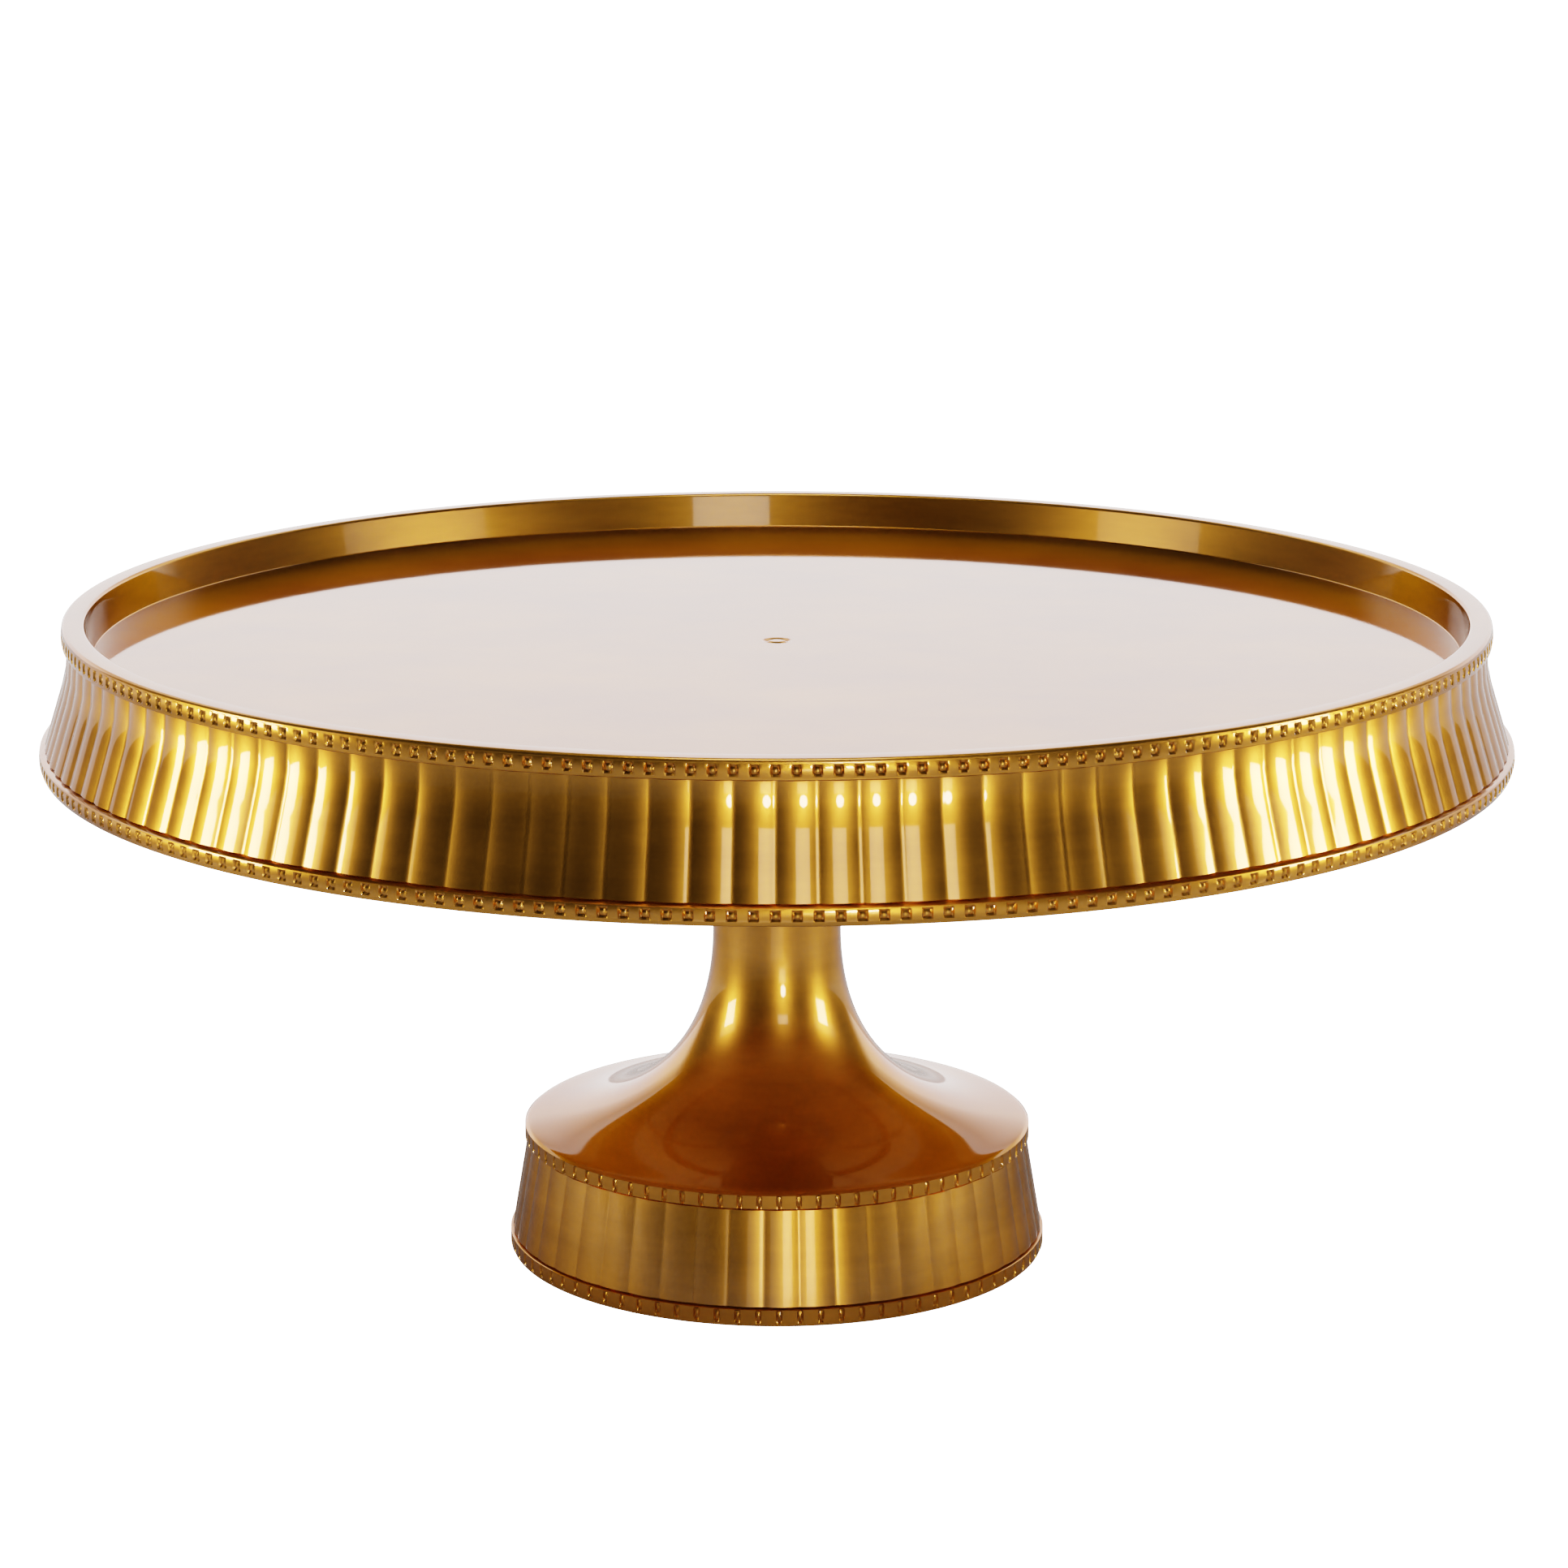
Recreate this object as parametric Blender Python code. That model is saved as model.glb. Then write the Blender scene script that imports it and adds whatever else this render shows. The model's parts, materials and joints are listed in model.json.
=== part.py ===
"""Moulded cake stand: a reeded tray that locks on to a hollow trumpet pedestal with a part turn.

Metres, +Z up. The origin is the centre of the pedestal's bottom rim, and the front is -Y.
An azimuth is in degrees about +Z from the front, counter-clockwise from above, so +X is 90.
An outline is a list of (radius, height) points that is spun about Z.
"""
import math

import bmesh
import bpy
from mathutils import Matrix, Vector

GAP = 0.0003
WALL = 0.0022
FULL_TURN = 360.0
FRONT_ANGLE = -90.0

# Tray: floor, raised rim, upper band, flared skirt and lower band.
STAND_HEIGHT = 0.1585
FLOOR_HEIGHT = 0.1497
FLOOR_THICKNESS = 0.0025
FLOOR_RADIUS = 0.1620
RIM_INNER_RADIUS = 0.1636
UPPER_BAND_RADIUS = 0.1690
UPPER_BAND_BOTTOM = 0.1542
SKIRT_TOP_RADIUS = 0.1678
SKIRT_BEND_HEIGHT = 0.1495
SKIRT_END_RADIUS = 0.1722
SKIRT_END_HEIGHT = 0.1295
LOWER_BAND_RADIUS = 0.1750
LOWER_BAND_BOTTOM = 0.1260
SKIRT_BOTTOM = 0.1250
SKIRT_WALL = 0.0024
SKIRT_BEND_LENGTH = 0.0024
SKIRT_STEPS = 3
PLATE_REEDS = 124
PLATE_REED_AZIMUTH = 2.8
EDGE = 0.0006

# Ribs and bosses under the tray.
RIB_COUNT = 12
RIB_WIDTH = 0.0018
RIB_DEPTH = 0.0055
RIB_RING_RADIUS = 0.0950
COLLAR_RADIUS = 0.0224
COLLAR_WALL = 0.0024
BOSS_RADIUS = 0.0042
BOSS_HOLE_RADIUS = 0.0018
BOSS_HOLE_DEPTH = 0.0100
SCREW_COUNT = 4
SCREW_CIRCLE_RADIUS = 0.0330

# Pedestal: drum, trumpet, neck, shoulder and spigot.
DRUM_REEDS = 48
DRUM_REED_AZIMUTH = 4.75
DRUM_LIP_RADIUS = 0.0652
DRUM_LIP_HEIGHT = 0.0009
DRUM_LOWER_BAND_RADIUS = 0.0654
DRUM_LOWER_BAND_TOP = 0.0043
DRUM_REED_BOTTOM = (0.0637, 0.0050)
DRUM_REED_TOP = (0.0610, 0.0270)
DRUM_UPPER_BAND_RADIUS = 0.0616
DRUM_UPPER_BAND_BOTTOM = 0.0275
DRUM_UPPER_BAND_TOP = 0.0307
TRUMPET_EDGE = (0.0610, 0.0312)
TRUMPET_EDGE_PULL = (0.0576, 0.0328)
TRUMPET_NECK_PULL = 0.0319
TRUMPET_TOP = 0.0793
NECK_RADIUS = 0.0155
NECK_TOP = 0.0850
SHOULDER_RADIUS = 0.0248
SHOULDER_HEIGHT = 0.1160
SHOULDER_EDGE = 0.0012
SHOULDER_FLARE_POWER = 2.6
SHOULDER_FLARE_SPACING = 0.7
SHOULDER_FLARE_STEPS = 5
BORE_RADIUS = 0.0132
SPIGOT_RADIUS = 0.0172
SPIGOT_TOP = 0.1360
SPIGOT_BORE_RADIUS = 0.0146
TRUMPET_STEPS = 10

# Lock: helical ledges on a ring, and lugs on the spigot that hook over them.
LOCK_COUNT = 3
LOCK_LEAD = 0.0180
LEDGE_SPAN = 50.0
LEDGE_INNER_RADIUS = 0.0179
LEDGE_TOP = 0.1270
LEDGE_THICKNESS = 0.0040
STOP_SPAN = 3.0
STOP_HEIGHT = 0.0040
LUG_SPAN = 40.0
LUG_OUTER_RADIUS = 0.0206
LUG_THICKNESS = 0.0035
LOCK_WALL_INNER_RADIUS = 0.0213
LOCK_WALL_OUTER_RADIUS = 0.0248
LOCK_RING_BOTTOM = 0.1180
FLANGE_RADIUS = 0.0390
FLANGE_BOTTOM = 0.1330
FLANGE_TOP = 0.1357
FLANGE_HOLE_RADIUS = 0.0021
BLOCK_STEP = 5.0
ROUND_STEPS = 48

# Friction washer between the shoulder and the lock ring.
WASHER_INNER_RADIUS = 0.0178
WASHER_OUTER_RADIUS = 0.0244

# Pan-head screw, drawn along its own -Z with the underside of its head at its origin.
SCREW_HEAD_RADIUS = 0.0034
SCREW_HEAD_HEIGHT = 0.0022
SCREW_CROWN_RADIUS = 0.0026
SCREW_SHANK_RADIUS = 0.0014
SCREW_LENGTH = 0.0095
SCREW_TIP = 0.0020
SCREW_STEPS = 20
RECESS_LENGTH = 0.0036
RECESS_WIDTH = 0.0009
RECESS_DEPTH = 0.0012

SHARP_ANGLE = math.radians(32.0)


def clear_scene():
    """Remove every object, so that the model starts from nothing."""
    for old_object in list(bpy.data.objects):
        bpy.data.objects.remove(old_object, do_unlink=True)


def on_circle(radius, azimuth, height=0.0):
    """Give the point at an azimuth on a circle about Z."""
    angle = math.radians(azimuth + FRONT_ANGLE)
    return Vector((radius * math.cos(angle), radius * math.sin(angle), height))


def make_material(name, colour, roughness, metallic):
    """Make one Principled material."""
    material = bpy.data.materials.new(name)
    material.use_nodes = True
    shader = material.node_tree.nodes["Principled BSDF"]
    shader.inputs["Base Color"].default_value = (*colour, 1.0)
    shader.inputs["Roughness"].default_value = roughness
    shader.inputs["Metallic"].default_value = metallic
    return material


def add_object(name, shape, material=None, parent=None):
    """Turn a bmesh into a named object with smooth faces and sharp edges."""
    mesh = bpy.data.meshes.new(name)
    bmesh.ops.recalc_face_normals(shape, faces=shape.faces)
    shape.to_mesh(mesh)
    shape.free()
    mesh.shade_smooth()
    mesh.set_sharp_from_angle(angle=SHARP_ANGLE)
    if material:
        mesh.materials.append(material)
    new_object = bpy.data.objects.new(name, mesh)
    new_object.parent = parent
    bpy.context.scene.collection.objects.link(new_object)
    return new_object


def add_axis(name, parent=None):
    """Add an empty on the stand's vertical axis, to carry what turns or rises."""
    axis = bpy.data.objects.new(name, None)
    axis.parent = parent
    bpy.context.scene.collection.objects.link(axis)
    return axis


def add_tools(name, shapes):
    """Put bmeshes into a collection of hidden wire objects for a Boolean."""
    tools = bpy.data.collections.new(name)
    bpy.context.scene.collection.children.link(tools)
    for number, shape in enumerate(shapes):
        tool = add_object(f"{name}_{number + 1}", shape)
        bpy.context.scene.collection.objects.unlink(tool)
        tools.objects.link(tool)
        tool.hide_render = True
        tool.display_type = 'WIRE'
    return tools


def combine(target, tools, operation):
    """Join a collection of tools to an object, or cut them from it."""
    boolean = target.modifiers.new(tools.name, 'BOOLEAN')
    boolean.operand_type = 'COLLECTION'
    boolean.collection = tools
    boolean.operation = operation
    boolean.solver = 'EXACT'


def spin_outline(outline, steps, first_azimuth=0.0, centre=None):
    """Spin an outline about Z. An outline that doesn't end on the axis is closed first."""
    shape = bmesh.new()
    points = [shape.verts.new(on_circle(radius, first_azimuth, height)) for radius, height in outline]
    edges = [shape.edges.new(pair) for pair in zip(points, points[1:])]
    if outline[0][0] > 0.0 or outline[-1][0] > 0.0:
        edges.append(shape.edges.new((points[-1], points[0])))
    bmesh.ops.spin(shape, geom=points + edges, cent=(0, 0, 0), axis=(0, 0, 1),
                   angle=math.radians(FULL_TURN), steps=steps, use_merge=True)
    bmesh.ops.remove_doubles(shape, verts=shape.verts, dist=GAP / 100.0)
    if centre:
        bmesh.ops.translate(shape, verts=shape.verts, vec=centre)
    return shape


def make_tube(inner, outer, bottom, top, steps=ROUND_STEPS):
    """Make a plain tube."""
    return spin_outline([(inner, top), (outer, top), (outer, bottom), (inner, bottom)], steps)


def make_rod(radius, bottom, top, centre, steps=SCREW_STEPS):
    """Make a plain rod standing at a centre."""
    outline = [(0.0, top), (radius, top), (radius, bottom), (0.0, bottom)]
    return spin_outline(outline, steps, centre=centre)


def make_bar(inner, outer, width, bottom, top, azimuth):
    """Make a straight bar that runs outwards along an azimuth."""
    shape = bmesh.new()
    size = Matrix.Diagonal((outer - inner, width, top - bottom, 1.0))
    middle = Matrix.Translation(((inner + outer) / 2.0, 0.0, (bottom + top) / 2.0))
    turn = Matrix.Rotation(math.radians(azimuth + FRONT_ANGLE), 4, 'Z')
    bmesh.ops.create_cube(shape, size=1.0, matrix=turn @ middle @ size)
    return shape


def make_helical_block(inner, outer, bottom, top, azimuth, start, end):
    """Sweep a block along the lock's helix. Its heights are those at its azimuth."""
    shape = bmesh.new()
    steps = max(1, round((end - start) / BLOCK_STEP))
    rings = []
    for step in range(steps + 1):
        offset = start + (end - start) * step / steps
        rise = LOCK_LEAD * offset / FULL_TURN
        corners = [(inner, bottom), (outer, bottom), (outer, top), (inner, top)]
        rings.append([shape.verts.new(on_circle(radius, azimuth + offset, height + rise))
                      for radius, height in corners])
    for ring, following in zip(rings, rings[1:]):
        for corner in range(4):
            beside = (corner + 1) % 4
            shape.faces.new((ring[corner], ring[beside], following[beside], following[corner]))
    shape.faces.new(rings[0])
    shape.faces.new(rings[-1])
    return shape


def skirt_curve(inset):
    """Give the skirt's outline from its top to its end, moved in by an inset."""
    start = Vector((SKIRT_TOP_RADIUS - inset, SKIRT_BEND_HEIGHT))
    pull = Vector((SKIRT_TOP_RADIUS + EDGE - inset, SKIRT_BEND_HEIGHT - SKIRT_BEND_LENGTH))
    end = Vector((SKIRT_END_RADIUS - inset, SKIRT_END_HEIGHT))
    curve = []
    for step in range(SKIRT_STEPS + 1):
        t = step / SKIRT_STEPS
        curve.append(tuple(start * (1 - t) ** 2 + 2 * pull * t * (1 - t) + end * t ** 2))
    return curve


def tray_outline():
    """Give the tray's section, from the middle of its floor round to its underside."""
    underside = FLOOR_HEIGHT - FLOOR_THICKNESS
    rim_top = [
        (0.0, FLOOR_HEIGHT),
        (FLOOR_RADIUS, FLOOR_HEIGHT),
        (FLOOR_RADIUS + EDGE, FLOOR_HEIGHT + EDGE),
        (RIM_INNER_RADIUS, STAND_HEIGHT - EDGE),
        (RIM_INNER_RADIUS + EDGE, STAND_HEIGHT),
        (UPPER_BAND_RADIUS - EDGE, STAND_HEIGHT),
        (UPPER_BAND_RADIUS, STAND_HEIGHT - EDGE),
        (UPPER_BAND_RADIUS, UPPER_BAND_BOTTOM),
        (SKIRT_TOP_RADIUS, UPPER_BAND_BOTTOM - EDGE),
    ]
    lower_band = [
        (LOWER_BAND_RADIUS, SKIRT_END_HEIGHT - EDGE),
        (LOWER_BAND_RADIUS, LOWER_BAND_BOTTOM),
        (LOWER_BAND_RADIUS - EDGE, SKIRT_BOTTOM),
    ]
    inside = [(SKIRT_END_RADIUS - SKIRT_WALL, SKIRT_BOTTOM)]
    inside += list(reversed(skirt_curve(SKIRT_WALL)))[:SKIRT_STEPS]
    return rim_top + skirt_curve(0.0) + lower_band + inside + [
        (SKIRT_TOP_RADIUS - SKIRT_WALL, underside),
        (0.0, underside),
    ]


def make_cake_plate(material, parent):
    """Make the tray with the ribs, collar and screw bosses under its floor."""
    plate = add_object("cake_plate", spin_outline(tray_outline(), PLATE_REEDS, PLATE_REED_AZIMUTH),
                       material, parent)
    floor_middle = FLOOR_HEIGHT - FLOOR_THICKNESS / 2.0
    rib_bottom = FLOOR_HEIGHT - FLOOR_THICKNESS - RIB_DEPTH
    boss_bottom = FLANGE_TOP + GAP
    skirt_middle = SKIRT_TOP_RADIUS - SKIRT_WALL / 2.0
    collar_middle = COLLAR_RADIUS - COLLAR_WALL / 2.0
    under_floor = [make_tube(COLLAR_RADIUS - COLLAR_WALL, COLLAR_RADIUS, boss_bottom, floor_middle),
                   make_tube(RIB_RING_RADIUS, RIB_RING_RADIUS + RIB_WIDTH, rib_bottom, floor_middle)]
    holes = []
    for rib in range(RIB_COUNT):
        azimuth = FULL_TURN * rib / RIB_COUNT
        under_floor.append(make_bar(collar_middle, skirt_middle, RIB_WIDTH, rib_bottom, floor_middle,
                                    azimuth))
    for screw in range(SCREW_COUNT):
        centre = on_circle(SCREW_CIRCLE_RADIUS, FULL_TURN * screw / SCREW_COUNT)
        under_floor.append(make_rod(BOSS_RADIUS, boss_bottom, floor_middle, centre))
        holes.append(make_rod(BOSS_HOLE_RADIUS, boss_bottom - GAP, boss_bottom + BOSS_HOLE_DEPTH, centre))
    combine(plate, add_tools("plate_underside", under_floor), 'UNION')
    combine(plate, add_tools("plate_pilot_holes", holes), 'DIFFERENCE')
    return plate


def trumpet_curve(inset):
    """Give the trumpet's outline from the neck down to the drum, moved in and down by an inset."""
    neck = Vector((NECK_RADIUS, TRUMPET_TOP))
    neck_pull = Vector((NECK_RADIUS, TRUMPET_NECK_PULL))
    edge_pull = Vector(TRUMPET_EDGE_PULL)
    edge = Vector(TRUMPET_EDGE)
    shift = Vector((-inset, -inset))
    curve = []
    for step in range(TRUMPET_STEPS + 1):
        t = step / TRUMPET_STEPS
        point = neck * (1 - t) ** 3 + 3 * neck_pull * t * (1 - t) ** 2
        point += 3 * edge_pull * t * t * (1 - t) + edge * t ** 3
        curve.append(tuple(point + shift))
    return curve


def neck_flare():
    """Give the neck's outline from the shoulder's edge down to its straight part."""
    top = SHOULDER_HEIGHT - SHOULDER_EDGE
    flare = []
    for step in range(SHOULDER_FLARE_STEPS + 1):
        up = (1 - step / SHOULDER_FLARE_STEPS) ** SHOULDER_FLARE_SPACING
        radius = NECK_RADIUS + (SHOULDER_RADIUS - NECK_RADIUS) * up ** SHOULDER_FLARE_POWER
        flare.append((radius, NECK_TOP + (top - NECK_TOP) * up))
    return flare


def pedestal_outline():
    """Give the pedestal's section, down the outside and up the inside."""
    spigot = [
        (SPIGOT_BORE_RADIUS, SPIGOT_TOP),
        (SPIGOT_RADIUS, SPIGOT_TOP),
        (SPIGOT_RADIUS, SHOULDER_HEIGHT),
        (SHOULDER_RADIUS - SHOULDER_EDGE / 2.0, SHOULDER_HEIGHT),
    ]
    drum_outside = [
        (DRUM_UPPER_BAND_RADIUS, DRUM_UPPER_BAND_TOP),
        (DRUM_UPPER_BAND_RADIUS, DRUM_UPPER_BAND_BOTTOM),
        DRUM_REED_TOP,
        DRUM_REED_BOTTOM,
        (DRUM_LOWER_BAND_RADIUS, DRUM_LOWER_BAND_TOP),
        (DRUM_LOWER_BAND_RADIUS, DRUM_LIP_HEIGHT),
        (DRUM_LIP_RADIUS, 0.0),
    ]
    drum_inside = [
        (DRUM_LIP_RADIUS - WALL, 0.0),
        (DRUM_REED_BOTTOM[0] - WALL, DRUM_REED_BOTTOM[1]),
    ]
    trumpet_inside = [point for point in reversed(trumpet_curve(WALL)) if point[0] > BORE_RADIUS + GAP]
    bore = [
        (BORE_RADIUS, TRUMPET_TOP),
        (BORE_RADIUS, NECK_TOP),
        (SPIGOT_BORE_RADIUS, NECK_TOP + WALL),
    ]
    return spigot + neck_flare() + trumpet_curve(0.0) + drum_outside + drum_inside + trumpet_inside + bore


def lock_azimuths():
    """Give the azimuths at which the lock's lugs and ledges sit when it is tight."""
    return [FULL_TURN * number / LOCK_COUNT for number in range(LOCK_COUNT)]


def make_pedestal(material):
    """Make the hollow pedestal with the lugs on its spigot."""
    pedestal = add_object("pedestal", spin_outline(pedestal_outline(), DRUM_REEDS, DRUM_REED_AZIMUTH),
                          material)
    spigot_middle = (SPIGOT_RADIUS + SPIGOT_BORE_RADIUS) / 2.0
    bottom = LEDGE_TOP + GAP
    lugs = [make_helical_block(spigot_middle, LUG_OUTER_RADIUS, bottom, bottom + LUG_THICKNESS,
                               azimuth, -LUG_SPAN / 2.0, LUG_SPAN / 2.0)
            for azimuth in lock_azimuths()]
    combine(pedestal, add_tools("spigot_lugs", lugs), 'UNION')
    return pedestal


def make_lock_ring(material, parent):
    """Make the flanged ring with its ledges, their stops and the screw holes."""
    outline = [
        (LOCK_WALL_INNER_RADIUS, FLANGE_TOP),
        (FLANGE_RADIUS, FLANGE_TOP),
        (FLANGE_RADIUS, FLANGE_BOTTOM),
        (LOCK_WALL_OUTER_RADIUS, FLANGE_BOTTOM),
        (LOCK_WALL_OUTER_RADIUS, LOCK_RING_BOTTOM),
        (LOCK_WALL_INNER_RADIUS, LOCK_RING_BOTTOM),
    ]
    ring = add_object("lock_ring", spin_outline(outline, ROUND_STEPS), material, parent)
    wall_middle = (LOCK_WALL_INNER_RADIUS + LOCK_WALL_OUTER_RADIUS) / 2.0
    stop_start = LUG_SPAN / 2.0 + STOP_SPAN / 2.0
    blocks = []
    for azimuth in lock_azimuths():
        blocks.append(make_helical_block(LEDGE_INNER_RADIUS, wall_middle, LEDGE_TOP - LEDGE_THICKNESS,
                                         LEDGE_TOP, azimuth, -LEDGE_SPAN / 2.0, LEDGE_SPAN / 2.0))
        blocks.append(make_helical_block(LEDGE_INNER_RADIUS, wall_middle, LEDGE_TOP - LEDGE_THICKNESS / 2.0,
                                         LEDGE_TOP + STOP_HEIGHT, azimuth, stop_start,
                                         stop_start + STOP_SPAN))
    holes = []
    for screw in range(SCREW_COUNT):
        centre = on_circle(SCREW_CIRCLE_RADIUS, FULL_TURN * screw / SCREW_COUNT)
        holes.append(make_rod(FLANGE_HOLE_RADIUS, FLANGE_BOTTOM - GAP, FLANGE_TOP + GAP, centre))
    combine(ring, add_tools("ring_ledges", blocks), 'UNION')
    combine(ring, add_tools("ring_screw_holes", holes), 'DIFFERENCE')
    return ring


def make_friction_ring(material, parent):
    """Make the soft washer that sits on the shoulder."""
    washer = make_tube(WASHER_INNER_RADIUS, WASHER_OUTER_RADIUS, SHOULDER_HEIGHT + GAP,
                       LOCK_RING_BOTTOM - GAP)
    return add_object("friction_ring", washer, material, parent)


def make_screws(material, parent):
    """Make the pan-head screws, heads down, with a cross recess in each head."""
    outline = [
        (0.0, SCREW_LENGTH),
        (SCREW_SHANK_RADIUS, SCREW_LENGTH - SCREW_TIP),
        (SCREW_SHANK_RADIUS, 0.0),
        (SCREW_HEAD_RADIUS, 0.0),
        (SCREW_HEAD_RADIUS, -SCREW_HEAD_HEIGHT / 2.0),
        (SCREW_CROWN_RADIUS, -SCREW_HEAD_HEIGHT),
        (0.0, -SCREW_HEAD_HEIGHT),
    ]
    screws = []
    for number in range(SCREW_COUNT):
        azimuth = FULL_TURN * number / SCREW_COUNT
        screw = add_object(f"lock_screw_{number + 1}", spin_outline(outline, SCREW_STEPS), material, parent)
        screw.location = on_circle(SCREW_CIRCLE_RADIUS, azimuth, FLANGE_BOTTOM - GAP)
        recess = [make_bar(-RECESS_LENGTH / 2.0, RECESS_LENGTH / 2.0, RECESS_WIDTH,
                           -SCREW_HEAD_HEIGHT - GAP, RECESS_DEPTH - SCREW_HEAD_HEIGHT, turn)
                  for turn in (45.0, 135.0)]
        tools = add_tools(f"{screw.name}_recess", recess)
        for tool in tools.objects:
            tool.parent = screw
        combine(screw, tools, 'DIFFERENCE')
        screws.append(screw)
    return screws


def build():
    """Build the stand: the pedestal stands still, and the rest turns and rises on its axis."""
    clear_scene()
    gold = (0.52, 0.29, 0.07)
    plate_gold = make_material("plate_gold", gold, 0.25, 0.8)
    pedestal_gold = make_material("pedestal_gold", gold, 0.25, 0.8)
    lock_plastic = make_material("lock_plastic", (0.40, 0.22, 0.06), 0.45, 0.3)
    soft_rubber = make_material("soft_rubber", (0.03, 0.03, 0.03), 0.8, 0.0)
    screw_steel = make_material("screw_steel", (0.55, 0.55, 0.56), 0.35, 1.0)
    turn_axis = add_axis("turn_axis")
    rise_axis = add_axis("rise_axis", turn_axis)
    make_pedestal(pedestal_gold)
    make_friction_ring(soft_rubber, turn_axis)
    make_cake_plate(plate_gold, rise_axis)
    make_lock_ring(lock_plastic, rise_axis)
    make_screws(screw_steel, rise_axis)


build()
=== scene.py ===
"""Looks of the moulded gold cake stand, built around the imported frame.

Metres, +Z up, -Y to the front. An azimuth is in degrees about +Z from the front, so +X is 90.
An outline is a list of (radius, height) points. It runs so that the solid lies on its right,
which puts the faces of the turned mesh outwards. A corner has a fillet radius as its third number.
"""
import json
import math

import bpy
import numpy as np
from mathutils import Matrix, Vector

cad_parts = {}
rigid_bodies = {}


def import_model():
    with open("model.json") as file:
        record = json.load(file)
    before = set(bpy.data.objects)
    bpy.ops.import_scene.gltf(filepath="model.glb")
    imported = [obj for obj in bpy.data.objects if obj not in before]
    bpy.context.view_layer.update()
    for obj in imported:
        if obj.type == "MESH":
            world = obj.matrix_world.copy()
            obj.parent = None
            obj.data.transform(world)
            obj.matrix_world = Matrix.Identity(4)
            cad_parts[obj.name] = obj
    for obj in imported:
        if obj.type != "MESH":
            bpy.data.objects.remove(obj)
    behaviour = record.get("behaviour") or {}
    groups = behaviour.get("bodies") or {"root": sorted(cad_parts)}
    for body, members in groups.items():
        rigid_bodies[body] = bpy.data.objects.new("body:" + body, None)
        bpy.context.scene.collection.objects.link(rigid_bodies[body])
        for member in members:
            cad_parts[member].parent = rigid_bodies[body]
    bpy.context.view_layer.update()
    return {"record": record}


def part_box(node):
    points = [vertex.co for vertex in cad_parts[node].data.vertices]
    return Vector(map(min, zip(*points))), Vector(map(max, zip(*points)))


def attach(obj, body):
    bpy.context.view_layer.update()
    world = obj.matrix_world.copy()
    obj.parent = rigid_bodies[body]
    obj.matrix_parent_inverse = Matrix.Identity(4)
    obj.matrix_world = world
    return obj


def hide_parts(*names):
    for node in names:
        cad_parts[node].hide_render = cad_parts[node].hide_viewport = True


MM = 0.001

# Reeds and pads. A recess parts each pad from the next, and one sits at each reed's edge.
PLATE_REEDS = 124
PLATE_PADS = 2 * PLATE_REEDS
PLATE_AZIMUTH = 2.8
DRUM_REEDS = 48
DRUM_PADS = 84
DRUM_AZIMUTH = 4.75
RECESS_COLUMNS = 11
PAD_COLUMNS = 3
REED_COLUMNS = 14
DRUM_REED_COLUMNS = 20
RECESS_ROWS = 6
FILLET_STEP = math.radians(11.0)
CREASE_ANGLE = 35.0
MOULDING_CREASE_ANGLE = 24.0


# ---------------------------------------------------------------- outlines

def rounded(corners):
    """Round an outline's corners. A corner is (radius, height, fillet radius)."""
    outline = []
    for index, (radius, height, fillet) in enumerate(corners):
        corner = np.array((radius, height))
        if not fillet or index in (0, len(corners) - 1):
            outline.append(corner)
            continue
        back = np.array(corners[index - 1][:2]) - corner
        ahead = np.array(corners[index + 1][:2]) - corner
        back /= np.linalg.norm(back)
        ahead /= np.linalg.norm(ahead)
        turn = math.pi - math.acos(float(np.clip(back @ ahead, -1.0, 1.0)))
        reach = fillet * math.tan(turn / 2.0)
        middle = (back + ahead) / np.linalg.norm(back + ahead)
        centre = corner + middle * fillet / math.cos(turn / 2.0)
        start = corner + back * reach - centre
        end = corner + ahead * reach - centre
        steps = max(2, math.ceil(turn / FILLET_STEP))
        for step in range(steps + 1):
            angle = turn * step / steps
            between = math.sin(turn - angle) * start + math.sin(angle) * end
            outline.append(centre + between / math.sin(turn))
    return outline


def line(start, end, steps):
    """Give evenly spaced points from a start to an end."""
    start, end = np.array(start), np.array(end)
    return [start + (end - start) * step / steps for step in range(steps + 1)]


def bezier(points, steps):
    """Give the points of a cubic curve."""
    first, second, third, last = (np.array(point) for point in points)
    curve = []
    for step in range(steps + 1):
        t = step / steps
        curve.append(first * (1 - t) ** 3 + 3 * second * t * (1 - t) ** 2
                     + 3 * third * t * t * (1 - t) + last * t ** 3)
    return curve


# ---------------------------------------------------------------- relief

def smooth_step(value):
    """Ease from 0 to 1."""
    value = np.clip(value, 0.0, 1.0)
    return value * value * (3.0 - 2.0 * value)


def reed_relief(columns, reeds, depth):
    """Give the offset of convex reeds with a sharp valley between them, 0 on the crowns."""
    across = np.arange(columns) * reeds / columns % 1.0
    return -depth * (2.0 * across - 1.0) ** 2


def pad_places(pads, recess_share):
    """Place a band's columns, as shares of the circle, close together over each recess."""
    half = recess_share / 2.0
    recess = np.linspace(-half, half, RECESS_COLUMNS)
    pad = np.linspace(half, 1.0 - half, PAD_COLUMNS + 2)[1:-1]
    across = np.concatenate([recess, pad])
    return np.sort(((np.arange(pads)[:, None] + across) / pads).ravel() % 1.0)


def pad_relief(places, pads, along, recess_share, depth, power):
    """Give the offset of a band's recesses. Along is -1 at their foot and 1 at their head."""
    across = places * pads
    across = (across - np.round(across)) / (recess_share / 2.0)
    away = (abs(across) ** power + abs(along) ** power) ** (1.0 / power)
    wall = -depth * smooth_step((1.0 - away) / (1.0 - RECESS_RING))
    dome = np.sqrt(np.clip(1.0 - (away / RECESS_RING) ** 2, 0.0, 1.0)) * (depth - RECESS_DOME_DROP)
    return np.where(away < RECESS_RING, -depth + dome, wall)


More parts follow.
